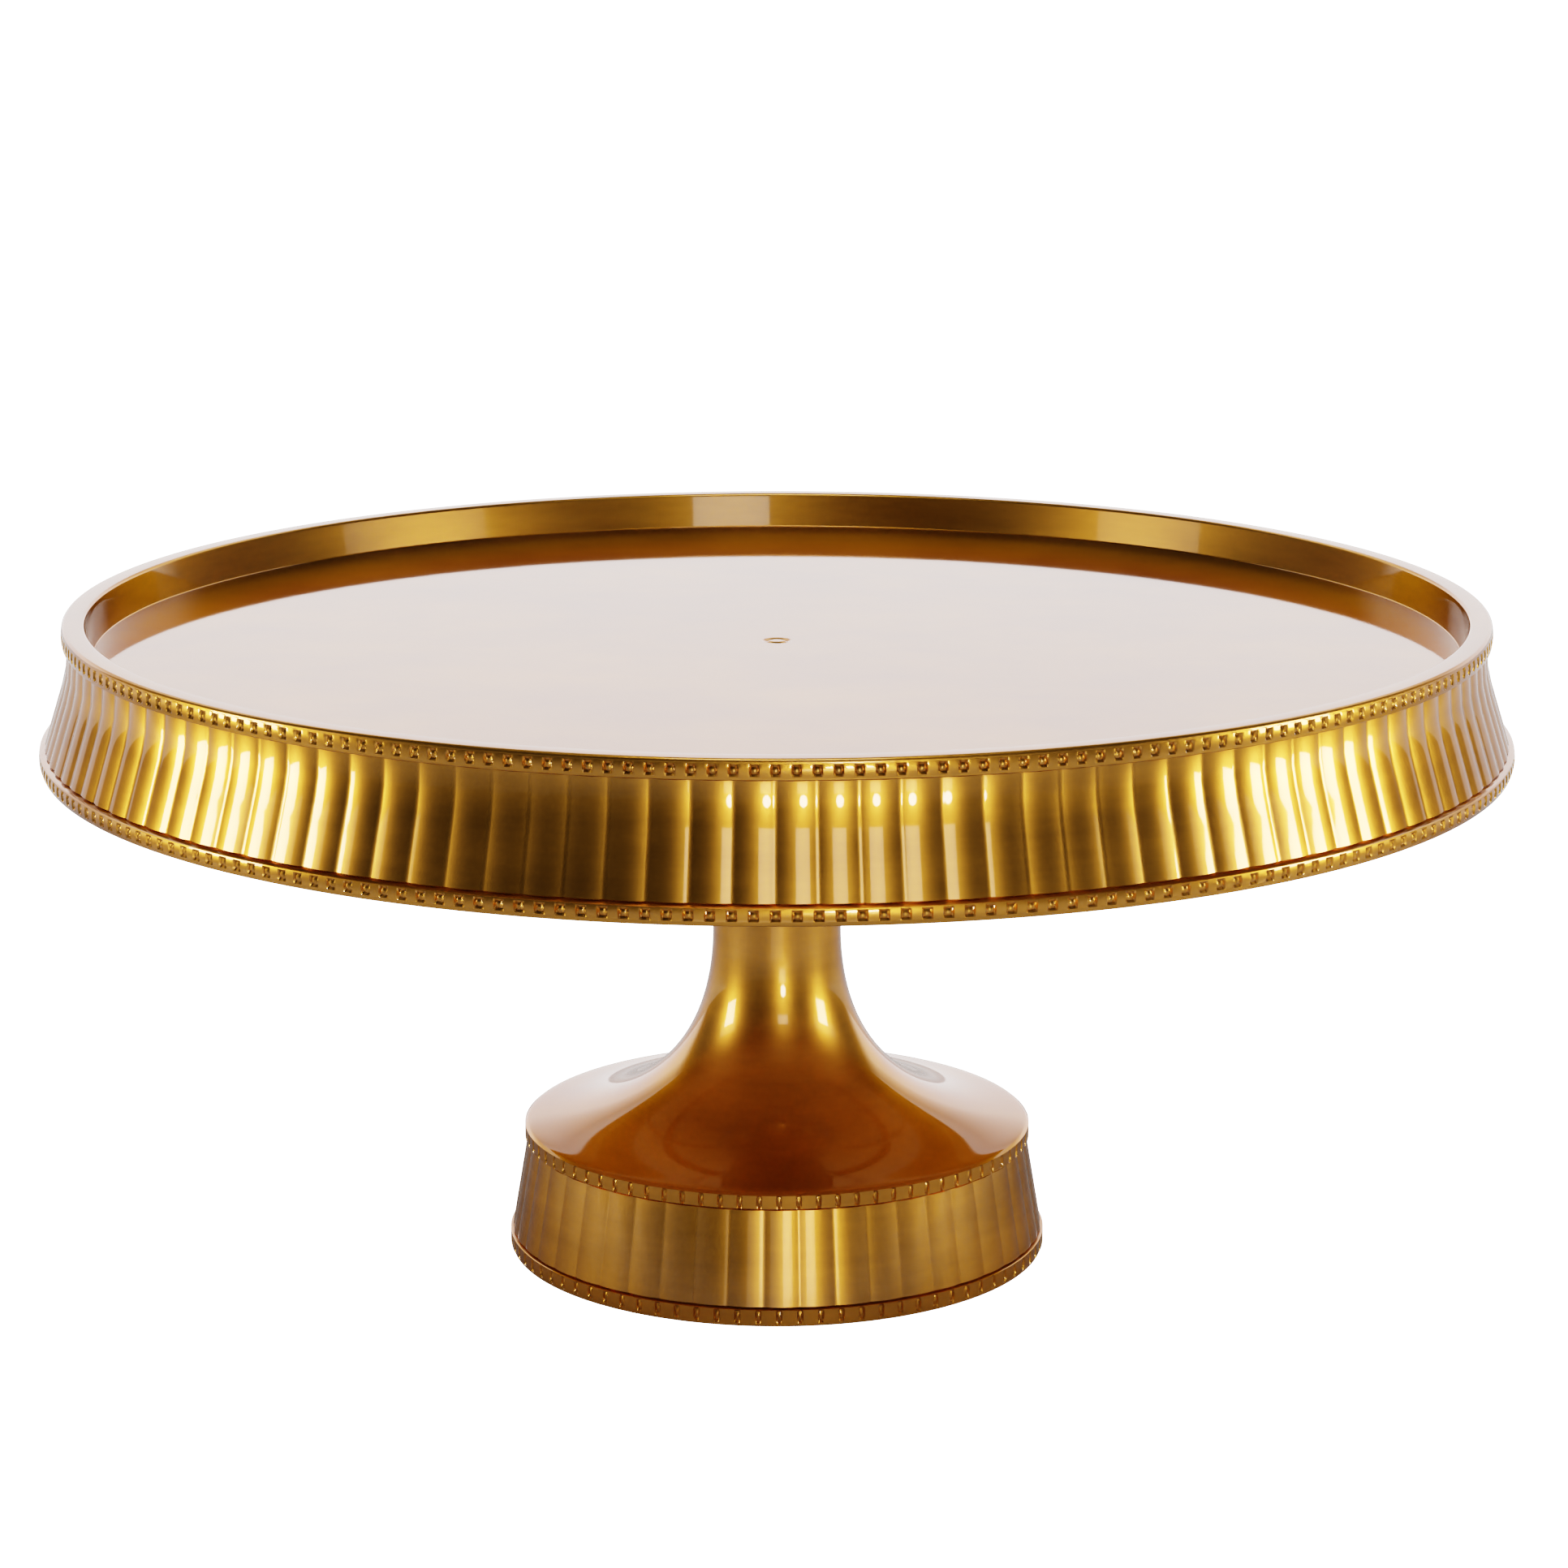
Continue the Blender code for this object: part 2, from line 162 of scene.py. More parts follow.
# ---------------------------------------------------------------- meshes

# The places of a ring that is one point on the axis. The second is never reached.
ONE_POINT = np.array([0.0, 9.0])
UNION_BEVEL_SEGMENTS = 2


class Turned:
    """A mesh turned about Z ring by ring. Rings may differ in their number of columns."""

    def __init__(self, first_azimuth=0.0):
        self.first = math.radians(first_azimuth - 90.0)
        self.points = []
        self.faces = []
        self.rings = []
        self.count = 0

    def ring(self, radius, height, columns, relief=0.0, places=None):
        """Add a ring and join it to the one before. Places are its columns as shares of the circle."""
        if places is None:
            places = np.arange(columns) / columns
        angles = self.first + 2.0 * math.pi * places
        reach = radius + relief
        ring = np.stack([reach * np.cos(angles), reach * np.sin(angles), np.full(columns, height)], axis=1)
        self.points.append(ring)
        self.rings.append((self.count, places))
        self.count += columns
        if len(self.rings) > 1:
            self.join(self.rings[-2], self.rings[-1])

    def follow(self, outline, columns):
        """Add a plain ring for each point of an outline."""
        for radius, height in outline:
            self.ring(radius, height, columns)

    def close(self):
        """Join the last ring to the first."""
        self.join(self.rings[-1], self.rings[0])

    def join(self, above, below):
        """Fill the strip between two rings."""
        (top, top_places), (bottom, bottom_places) = above, below
        many, few = len(top_places), len(bottom_places)
        if many == few and many > 1:
            step = np.arange(many)
            beside = (step + 1) % many
            quads = np.stack([top + step, bottom + step, bottom + beside, top + beside], axis=1)
            self.faces.extend(quads.tolist())
            return
        upper = np.append(top_places, top_places[0] + 1.0) if many > 1 else ONE_POINT
        lower = np.append(bottom_places, bottom_places[0] + 1.0) if few > 1 else ONE_POINT
        i = j = 0
        while (i < many and many > 1) or (j < few and few > 1):
            if j >= few or few == 1 or (i < many and upper[i + 1] <= lower[j + 1]):
                self.faces.append([top + i % many, bottom + j % few, top + (i + 1) % many])
                i += 1
            else:
                self.faces.append([top + i % many, bottom + j % few, bottom + (j + 1) % few])
                j += 1

    def mesh(self, name):
        """Make the mesh."""
        made = bpy.data.meshes.new(name)
        made.from_pydata(np.concatenate(self.points).tolist(), [], self.faces)
        made.validate()
        made.update()
        return made


def turned_mesh(name, outline, columns, first_azimuth=0.0, closed=True):
    """Turn a whole outline. One that isn't closed starts and ends on the axis."""
    shape = Turned(first_azimuth)
    for radius, height in outline:
        shape.ring(radius, height, 1 if radius == 0.0 else columns)
    if closed:
        shape.close()
    return shape.mesh(name)


def on_circle(radius, azimuth, height):
    """Give the point at a radius, an azimuth and a height."""
    angle = math.radians(azimuth - 90.0)
    return (radius * math.cos(angle), radius * math.sin(angle), height)


def helical_mesh(name, inner, outer, bottom, top, azimuth, start, end):
    """Sweep a block along the lock's helix. Its heights are those at its azimuth."""
    steps = round(end - start)
    points = []
    faces = [(0, 1, 2, 3), (4 * steps + 3, 4 * steps + 2, 4 * steps + 1, 4 * steps)]
    for step in range(steps + 1):
        offset = start + (end - start) * step / steps
        rise = LOCK_LEAD * offset / 360.0
        for radius, height in ((inner, bottom), (inner, top), (outer, top), (outer, bottom)):
            points.append(on_circle(radius, azimuth + offset, height + rise))
    for step in range(steps):
        for corner in range(4):
            here = 4 * step
            beside = (corner + 1) % 4
            faces.append((here + beside, here + corner, here + 4 + corner, here + 4 + beside))
    made = bpy.data.meshes.new(name)
    made.from_pydata(points, [], faces)
    made.update()
    return made


def bar_mesh(name, inner, outer, width, bottom, top, azimuth):
    """Make a straight bar that runs outwards along an azimuth."""
    angle = math.radians(azimuth - 90.0)
    along = Vector((math.cos(angle), math.sin(angle), 0.0))
    side = Vector((-math.sin(angle), math.cos(angle), 0.0)) * width / 2.0
    points = []
    for height in (bottom, top):
        for reach, hand in ((inner, -1.0), (outer, -1.0), (outer, 1.0), (inner, 1.0)):
            points.append(along * reach + side * hand + Vector((0.0, 0.0, height)))
    faces = [(3, 2, 1, 0), (4, 5, 6, 7), (0, 1, 5, 4), (1, 2, 6, 5), (2, 3, 7, 6), (3, 0, 4, 7)]
    made = bpy.data.meshes.new(name)
    made.from_pydata(points, [], faces)
    made.update()
    return made


def joined_mesh(name, body, added=(), cut=(), edge=0.0):
    """Join solids to a body, cut others from it and soften its sharp edges. Gives the finished mesh."""
    scene = bpy.context.scene
    holder = bpy.data.objects.new(name, body)
    scene.collection.objects.link(holder)
    groups = []
    for meshes, operation in ((added, 'UNION'), (cut, 'DIFFERENCE')):
        if not meshes:
            continue
        group = bpy.data.collections.new(f"{name}_{operation.lower()}")
        scene.collection.children.link(group)
        groups.append(group)
        for mesh in meshes:
            group.objects.link(bpy.data.objects.new(mesh.name, mesh))
        boolean = holder.modifiers.new(operation, 'BOOLEAN')
        boolean.operation = operation
        boolean.operand_type = 'COLLECTION'
        boolean.collection = group
        boolean.solver = 'EXACT'
    if edge:
        bevel = holder.modifiers.new("edge", 'BEVEL')
        bevel.width = edge
        bevel.segments = UNION_BEVEL_SEGMENTS
        bevel.limit_method = 'ANGLE'
        bevel.angle_limit = math.radians(CREASE_ANGLE)
    ready = holder.evaluated_get(bpy.context.evaluated_depsgraph_get())
    finished = bpy.data.meshes.new_from_object(ready)
    bpy.data.objects.remove(holder)
    for group in groups:
        for tool in list(group.objects):
            bpy.data.objects.remove(tool)
        bpy.data.collections.remove(group)
    return finished


def add_piece(name, mesh, material, body, node, sharp=CREASE_ANGLE):
    """Make a piece from a mesh, riding on a body in place of a CAD node.

    Its faces are smooth between the edges that are sharper than an angle in degrees.
    """
    mesh.shade_smooth()
    mesh.set_sharp_from_angle(angle=math.radians(sharp))
    mesh.materials.clear()
    mesh.materials.append(material)
    piece = bpy.data.objects.new(name, mesh)
    bpy.context.scene.collection.objects.link(piece)
    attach(piece, body)
    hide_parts(node)
    return piece


# ---------------------------------------------------------------- materials

GOLD = (0.76, 0.36, 0.05)
LOCK_GOLD = (0.42, 0.24, 0.06)
RUBBER_BLACK = (0.02, 0.02, 0.02)
STEEL_GREY = (0.55, 0.55, 0.56)
BODY_METALLIC = 0.97
BODY_SPECULAR_TINT = (0.10, 0.07, 0.03, 1.0)
BODY_ROUGHNESS = (0.31, 0.38)
TONE_PLACES = (0.3, 0.7)
DARK_TONE = 0.86
LIGHT_TONE = 1.07
FLOW_SCALE = 26.0
FLOW_SQUEEZE = (1.0, 1.0, 5.0)
FLAKE_SCALE = 5200.0
FLAKE_HEIGHT = 0.06 * MM
SKIN_ROUGHNESS = 0.045
SKIN_INDEX = 1.5
SKIN_WAVE_SCALE = 55.0
SKIN_WAVE_HEIGHT = 0.03 * MM
GRAIN_SPREAD = 0.15


def new_material(name):
    """Make an empty node material and give its tree."""
    material = bpy.data.materials.new(name)
    material.use_nodes = True
    material.node_tree.nodes.clear()
    return material, material.node_tree


def add_node(tree, kind, values=None, **settings):
    """Add a node with its settings and its inputs' values."""
    node = tree.nodes.new(kind)
    for key, value in settings.items():
        setattr(node, key, value)
    for key, value in (values or {}).items():
        node.inputs[key].default_value = value
    return node


def gold_plastic(name, colour, seed):
    """Pearlescent gold plastic: a soft metal-flake body under a clear glossy skin."""
    material, tree = new_material(name)
    link = tree.links.new
    place = add_node(tree, "ShaderNodeTexCoord")
    output = add_node(tree, "ShaderNodeOutputMaterial")
    shader = add_node(tree, "ShaderNodeBsdfPrincipled", {
        "Metallic": BODY_METALLIC, "Specular Tint": BODY_SPECULAR_TINT, "Specular IOR Level": 0.0,
        "Coat Weight": 1.0, "Coat Roughness": SKIN_ROUGHNESS, "Coat IOR": SKIN_INDEX, "IOR": SKIN_INDEX})
    flow = add_node(tree, "ShaderNodeTexNoise", {"Scale": FLOW_SCALE, "Detail": 4.0, "Roughness": 0.55})
    shifted = add_node(tree, "ShaderNodeMapping", {"Location": (seed, seed, 0.0), "Scale": FLOW_SQUEEZE})
    tone = add_node(tree, "ShaderNodeValToRGB")
    tone.color_ramp.elements[0].position = TONE_PLACES[0]
    tone.color_ramp.elements[0].color = (*(DARK_TONE * c for c in colour), 1.0)
    tone.color_ramp.elements[1].position = TONE_PLACES[1]
    tone.color_ramp.elements[1].color = (*(min(1.0, LIGHT_TONE * c) for c in colour), 1.0)
    link(place.outputs["Object"], shifted.inputs["Vector"])
    link(shifted.outputs["Vector"], flow.inputs["Vector"])
    link(flow.outputs["Fac"], tone.inputs["Fac"])
    link(tone.outputs["Color"], shader.inputs["Base Color"])
    flake = add_node(tree, "ShaderNodeTexVoronoi", {"Scale": FLAKE_SCALE, "Randomness": 1.0})
    grain = add_node(tree, "ShaderNodeBump", {"Strength": 0.10, "Distance": FLAKE_HEIGHT})
    link(place.outputs["Object"], flake.inputs["Vector"])
    link(flake.outputs["Distance"], grain.inputs["Height"])
    link(grain.outputs["Normal"], shader.inputs["Normal"])
    rough = add_node(tree, "ShaderNodeMapRange", {"To Min": BODY_ROUGHNESS[0], "To Max": BODY_ROUGHNESS[1]})
    link(flow.outputs["Fac"], rough.inputs["Value"])
    link(rough.outputs["Result"], shader.inputs["Roughness"])
    wave = add_node(tree, "ShaderNodeTexNoise", {"Scale": SKIN_WAVE_SCALE, "Detail": 2.0})
    skin = add_node(tree, "ShaderNodeBump", {"Strength": 0.25, "Distance": SKIN_WAVE_HEIGHT})
    link(shifted.outputs["Vector"], wave.inputs["Vector"])
    link(wave.outputs["Fac"], skin.inputs["Height"])
    link(skin.outputs["Normal"], shader.inputs["Coat Normal"])
    link(shader.outputs["BSDF"], output.inputs["Surface"])
    return material


def plain_material(name, colour, roughness, metallic, bump_scale, bump_distance):
    """A simple moulded, rubber or plated finish with fine grain."""
    material, tree = new_material(name)
    link = tree.links.new
    place = add_node(tree, "ShaderNodeTexCoord")
    output = add_node(tree, "ShaderNodeOutputMaterial")
    shader = add_node(tree, "ShaderNodeBsdfPrincipled", {
        "Base Color": (*colour, 1.0), "Metallic": metallic, "Roughness": roughness})
    noise = add_node(tree, "ShaderNodeTexNoise", {"Scale": bump_scale, "Detail": 3.0})
    bump = add_node(tree, "ShaderNodeBump", {"Strength": 0.4, "Distance": bump_distance})
    spread = add_node(tree, "ShaderNodeMapRange", {
        "To Min": roughness * (1.0 - GRAIN_SPREAD), "To Max": roughness * (1.0 + GRAIN_SPREAD)})
    link(place.outputs["Object"], noise.inputs["Vector"])
    link(noise.outputs["Fac"], bump.inputs["Height"])
    link(noise.outputs["Fac"], spread.inputs["Value"])
    link(spread.outputs["Result"], shader.inputs["Roughness"])
    link(bump.outputs["Normal"], shader.inputs["Normal"])
    link(shader.outputs["BSDF"], output.inputs["Surface"])
    return material


# ---------------------------------------------------------------- cake plate

UPPER_RECESS_POWER = 3.0
LOWER_RECESS_POWER = 5.0
DRUM_RECESS_POWER = 4.0
RECESS_RING = 0.70
RECESS_DOME_DROP = 0.12 * MM
RECESS_SHARE = 0.52
RECESS_DEPTH = 0.65 * MM
BAND_BULGE = 0.18 * MM
UPPER_BAND_INSET = 6.0 * MM
UPPER_BAND_TOP_DROP = 0.9 * MM
UPPER_BAND_BOTTOM_DROP = 4.05 * MM
UPPER_RECESS_DROP = 2.4 * MM
UPPER_RECESS_HEIGHT = 2.6 * MM
REED_TOP_DROP = 4.8 * MM
REED_TOP_INSET = 7.2 * MM
BEND_DROP = 10.6 * MM
BEND_FILLET = 30.0 * MM
REED_END_RISE = 4.5 * MM
REED_END_INSET = 1.4 * MM
LOWER_BAND_TOP_RISE = 3.8 * MM
LOWER_BAND_BOTTOM_RISE = 0.95 * MM
LOWER_RECESS_RISE = 2.3 * MM
LOWER_RECESS_HEIGHT = 2.5 * MM
RIM_INNER_INSET = 11.5 * MM
FLOOR_INSET = 12.9 * MM
WALL_FOOT_FILLET = 0.35 * MM
SKIRT_WALL = 2.4 * MM
FLOOR_THICKNESS = 2.5 * MM
PLATE_REED_DEPTH = 0.45 * MM
DIMPLE_RADIUS = 3.6 * MM
DIMPLE_DEPTH = 0.40 * MM
DIMPLE_FLAT = 0.62
NUB_RADIUS = 2.6 * MM
NUB_HEIGHT = 0.40 * MM
NUB_FLAT = 0.6
RIPPLE_RADIUS = 18.0 * MM
RIPPLE_WIDTH = 6.0 * MM
RIPPLE_HEIGHT = 0.006 * MM
GATE_STEP = 0.25 * MM
GATE_RINGS = 17
RIPPLE_STEP = MM
RIPPLE_FIRST_RING = 5
RIPPLE_RINGS = 40
PLAIN_FLOOR_RINGS = (60.0 * MM, 120.0 * MM)
WALL_FOOT_FLAT = 2.0 * MM
REED_END_TUCK = 0.35 * MM
REED_END_DROP = 0.3 * MM
LEDGE_START_TUCK = 0.6 * MM
LEDGE_START_DROP = 0.4 * MM
LEDGE_EDGE_INSET = 0.3 * MM
LEDGE_EDGE_RISE = 0.15 * MM


def floor_height(radius, level):
    """Give the height of the tray's floor, with the gate's dimple and nub and the faint rings round it."""
    dimple_slope = (radius / DIMPLE_RADIUS - DIMPLE_FLAT) / (1.0 - DIMPLE_FLAT)
    dimple = -DIMPLE_DEPTH * (1.0 - smooth_step(dimple_slope))
    nub_slope = (radius / NUB_RADIUS - NUB_FLAT) / (1.0 - NUB_FLAT)
    nub = NUB_HEIGHT * (1.0 - smooth_step(nub_slope))
    ripple = RIPPLE_HEIGHT * math.exp(-((radius - RIPPLE_RADIUS) / RIPPLE_WIDTH) ** 2) * math.cos(
        (radius - RIPPLE_RADIUS) / RIPPLE_WIDTH * 3.0)
    return level + float(dimple) + float(nub) + ripple


def band(shape, radius, top, bottom, recess_height, recess_middle, power):
    """Add a band's rings: a slightly bulging face with a row of recesses."""
    places = pad_places(PLATE_PADS, RECESS_SHARE)
    half = recess_height / 2.0
    heights = [top] + [recess_middle + half * (1.0 - 2.0 * row / (RECESS_ROWS - 1.0))
                       for row in range(RECESS_ROWS)] + [bottom]
    for height in heights:
        across = 2.0 * (top - height) / (top - bottom) - 1.0
        bulge = BAND_BULGE * (1.0 - across ** 2)
        along = (height - recess_middle) / half
        relief = 0.0
        if abs(along) <= 1.0:
            relief = pad_relief(places, PLATE_PADS, along, RECESS_SHARE, RECESS_DEPTH, power)
        shape.ring(radius - BAND_BULGE + bulge, height, len(places), relief, places)


def cake_plate_mesh(low, high, level):
    """Turn the tray: floor, rim, upper band, reeded skirt, lower band and the inside."""
    edge = high.x
    top = high.z
    foot = low.z
    coarse = PLATE_PADS
    reeded = PLATE_REEDS * REED_COLUMNS
    plate = Turned(PLATE_AZIMUTH)
    plate.ring(0.0, floor_height(0.0, level), 1)
    for step in range(1, GATE_RINGS + 1):
        plate.ring(step * GATE_STEP, floor_height(step * GATE_STEP, level), coarse // 4)
    for step in range(RIPPLE_FIRST_RING, RIPPLE_RINGS + 1):
        plate.ring(step * RIPPLE_STEP, floor_height(step * RIPPLE_STEP, level), coarse // 2)
    band_radius = edge - UPPER_BAND_INSET
    wall = rounded([
        (edge - FLOOR_INSET - WALL_FOOT_FLAT, level, 0.0),
        (edge - FLOOR_INSET, level, WALL_FOOT_FILLET),
        (edge - RIM_INNER_INSET, top, 0.8 * MM),
        (band_radius - BAND_BULGE, top, 0.85 * MM),
        (band_radius - BAND_BULGE, top - UPPER_BAND_TOP_DROP, 0.0),
    ])
    plate.follow([(radius, level) for radius in PLAIN_FLOOR_RINGS] + wall[:-1], coarse)
    band(plate, band_radius, top - UPPER_BAND_TOP_DROP, top - UPPER_BAND_BOTTOM_DROP,
         UPPER_RECESS_HEIGHT, top - UPPER_RECESS_DROP, UPPER_RECESS_POWER)
    under = rounded([
        (band_radius - BAND_BULGE, top - UPPER_BAND_BOTTOM_DROP, 0.0),
        (band_radius - BAND_BULGE, top - UPPER_BAND_BOTTOM_DROP - 0.45 * MM, 0.3 * MM),
        (edge - REED_TOP_INSET - 0.5 * MM, top - REED_TOP_DROP + 0.1 * MM, 0.0),
    ])
    plate.follow(under[1:], coarse)
    skirt = rounded([
        (edge - REED_TOP_INSET, top - REED_TOP_DROP, 0.0),
        (edge - REED_TOP_INSET, top - BEND_DROP, BEND_FILLET),
        (edge - REED_END_INSET, foot + REED_END_RISE, 0.0),
    ])
    reeds = reed_relief(reeded, PLATE_REEDS, PLATE_REED_DEPTH)
    plate.ring(edge - REED_TOP_INSET - 0.2 * MM, top - REED_TOP_DROP + 0.1 * MM, reeded, reeds)
    for radius, height in skirt[:-1] + line(skirt[-2], skirt[-1], 3)[1:]:
        plate.ring(radius, height, reeded, reeds)
    plate.ring(edge - REED_END_INSET - REED_END_TUCK, foot + REED_END_RISE - REED_END_DROP, reeded, reeds)
    ledge = rounded([
        (edge - REED_END_INSET - LEDGE_START_TUCK, foot + REED_END_RISE - LEDGE_START_DROP, 0.0),
        (edge - BAND_BULGE - LEDGE_EDGE_INSET, foot + LOWER_BAND_TOP_RISE + LEDGE_EDGE_RISE, 0.15 * MM),
        (edge - BAND_BULGE, foot + LOWER_BAND_TOP_RISE, 0.0),
    ])
    plate.follow(ledge[:-1], coarse)
    band(plate, edge, foot + LOWER_BAND_TOP_RISE, foot + LOWER_BAND_BOTTOM_RISE,
         LOWER_RECESS_HEIGHT, foot + LOWER_RECESS_RISE, LOWER_RECESS_POWER)
    inside = rounded([
        (edge - BAND_BULGE, foot + LOWER_BAND_BOTTOM_RISE, 0.0),
        (edge - 0.5 * MM, foot, 0.4 * MM),
        (edge - REED_END_INSET - SKIRT_WALL + 0.6 * MM, foot, 0.3 * MM),
        (edge - REED_END_INSET - SKIRT_WALL, foot + REED_END_RISE, 0.0),
        (edge - REED_TOP_INSET - SKIRT_WALL, top - BEND_DROP, 4.0 * MM),
        (edge - REED_TOP_INSET - SKIRT_WALL - 0.1 * MM, level - FLOOR_THICKNESS, 0.8 * MM),
        (60.0 * MM, level - FLOOR_THICKNESS, 0.0),
        (0.0, level - FLOOR_THICKNESS, 0.0),
    ])
    plate.follow(inside[1:-1], coarse)
    plate.ring(0.0, level - FLOOR_THICKNESS, 1)
    return plate.mesh("cake_plate_moulding")


# ---------------------------------------------------------------- tray ribs

RIB_COUNT = 12
RIB_WIDTH = 1.8 * MM
RIB_DEPTH = 5.5 * MM
RIB_RING_RADIUS = 95.0 * MM
RIB_REACH = 165.3 * MM
COLLAR_INNER_RADIUS = 20.0 * MM
COLLAR_OUTER_RADIUS = 22.4 * MM
COLLAR_BOTTOM = 136.0 * MM
BOSS_RADIUS = 4.2 * MM
BOSS_HOLE_RADIUS = 1.8 * MM
BOSS_HOLE_DEPTH = 10.0 * MM
SCREW_CIRCLE_RADIUS = 33.0 * MM
SCREW_COUNT = 4
ROOT = 0.3 * MM
RIB_EDGE = 0.25 * MM
COLLAR_COLUMNS = 120
RIB_RING_COLUMNS = 240
BOSS_COLUMNS = 48
HOLE_COLUMNS = 32


def tube(name, inner, outer, bottom, top, columns):
    """Make a plain tube."""
    return turned_mesh(name, [(inner, top), (outer, top), (outer, bottom), (inner, bottom)], columns)


def rod(name, radius, bottom, top, columns, centre=(0.0, 0.0, 0.0)):
    """Make a plain rod at a centre."""
    made = turned_mesh(name, [(0.0, top), (radius, top), (radius, bottom), (0.0, bottom)], columns,
                       closed=False)
    made.transform(Matrix.Translation(centre))
    return made


def screw_places():
    """Give the azimuths of the four screws."""
    return [360.0 * number / SCREW_COUNT for number in range(SCREW_COUNT)]


def tray_ribs_mesh(level):
    """Join the ribs, the ring rib, the collar and the screw bosses under the tray's floor."""
    under = level - FLOOR_THICKNESS
    top = under + ROOT
    bottom = under - RIB_DEPTH
    collar = tube("collar", COLLAR_INNER_RADIUS, COLLAR_OUTER_RADIUS, COLLAR_BOTTOM, top, COLLAR_COLUMNS)
    ring = tube("ring_rib", RIB_RING_RADIUS - RIB_WIDTH / 2.0, RIB_RING_RADIUS + RIB_WIDTH / 2.0,
                bottom, top, RIB_RING_COLUMNS)
    added = [ring]
    for number in range(RIB_COUNT):
        azimuth = 360.0 * (number + 0.5) / RIB_COUNT
        added.append(bar_mesh("rib", COLLAR_OUTER_RADIUS - MM, RIB_REACH, RIB_WIDTH, bottom, top, azimuth))
    holes = []
    for azimuth in screw_places():
        centre = on_circle(SCREW_CIRCLE_RADIUS, azimuth, 0.0)
        added.append(rod("boss", BOSS_RADIUS, COLLAR_BOTTOM, top, BOSS_COLUMNS, centre))
        holes.append(rod("pilot_hole", BOSS_HOLE_RADIUS, COLLAR_BOTTOM - MM,
                         COLLAR_BOTTOM + BOSS_HOLE_DEPTH, HOLE_COLUMNS, centre))
    return joined_mesh("tray_ribs", collar, added, holes, RIB_EDGE)


# ---------------------------------------------------------------- pedestal

NECK_RADIUS = 15.5 * MM
BORE_RADIUS = 13.2 * MM
TRUMPET_TOP = 79.3 * MM
TRUMPET_NECK_PULL = 31.9 * MM
TRUMPET_EDGE_PULL = (57.6 * MM, 32.8 * MM)
TRUMPET_EDGE = (61.0 * MM, 31.2 * MM)
TRUMPET_STEPS = 48
PEDESTAL_WALL = 2.2 * MM
NECK_TOP = 85.0 * MM
SHOULDER_RADIUS = 24.8 * MM
SHOULDER_HEIGHT = 116.0 * MM
SHOULDER_EDGE = 1.2 * MM
SHOULDER_FLARE_POWER = 2.6
SHOULDER_FLARE_STEPS = 18
SPIGOT_RADIUS = 17.2 * MM
SPIGOT_BORE_RADIUS = 14.6 * MM
DRUM_UPPER_RADIUS = 61.6 * MM
DRUM_UPPER_TOP = 30.7 * MM
DRUM_UPPER_BOTTOM = 27.5 * MM
DRUM_REED_TOP = (61.0 * MM, 26.9 * MM)
DRUM_REED_BOTTOM = (64.8 * MM, 4.6 * MM)
DRUM_LOWER_RADIUS = 65.4 * MM
DRUM_LOWER_TOP = 4.1 * MM
DRUM_LOWER_BOTTOM = 0.9 * MM
DRUM_REED_DEPTH = 0.28 * MM
DRUM_RECESS_SHARE = 0.30
DRUM_RECESS_REACH = 0.88
PEDESTAL_COLUMNS = 168
DRUM_REED_STEPS = 5


def neck_flare():
    """Give the neck's outline from under the shoulder down to the straight part."""
    top = SHOULDER_HEIGHT - SHOULDER_EDGE
    flare = []
    for step in range(SHOULDER_FLARE_STEPS + 1):
        up = 1.0 - step / SHOULDER_FLARE_STEPS
        radius = NECK_RADIUS + (SHOULDER_RADIUS - NECK_RADIUS) * up ** SHOULDER_FLARE_POWER
        flare.append((radius, NECK_TOP + (top - NECK_TOP) * up))
    return flare


def trumpet(inset):
    """Give the trumpet's outline from the neck to the drum, moved in and down by an inset."""
    points = [(NECK_RADIUS, TRUMPET_TOP), (NECK_RADIUS, TRUMPET_NECK_PULL), TRUMPET_EDGE_PULL, TRUMPET_EDGE]
    return bezier([(radius - inset, height - inset) for radius, height in points], TRUMPET_STEPS)


def drum_band(shape, radius, top, bottom):
    """Add one of the drum's bands: wide pads parted by narrow slots."""
    places = pad_places(DRUM_PADS, DRUM_RECESS_SHARE)
    middle = (top + bottom) / 2.0
    half = (top - bottom) / 2.0
    for row in range(RECESS_ROWS + 2):
        height = top + (bottom - top) * row / (RECESS_ROWS + 1)
        along = (height - middle) / (half * DRUM_RECESS_REACH)
        relief = 0.0
        if abs(along) <= 1.0:
            relief = pad_relief(places, DRUM_PADS, along, DRUM_RECESS_SHARE, RECESS_DEPTH,
                                DRUM_RECESS_POWER)
        shape.ring(radius, height, len(places), relief, places)


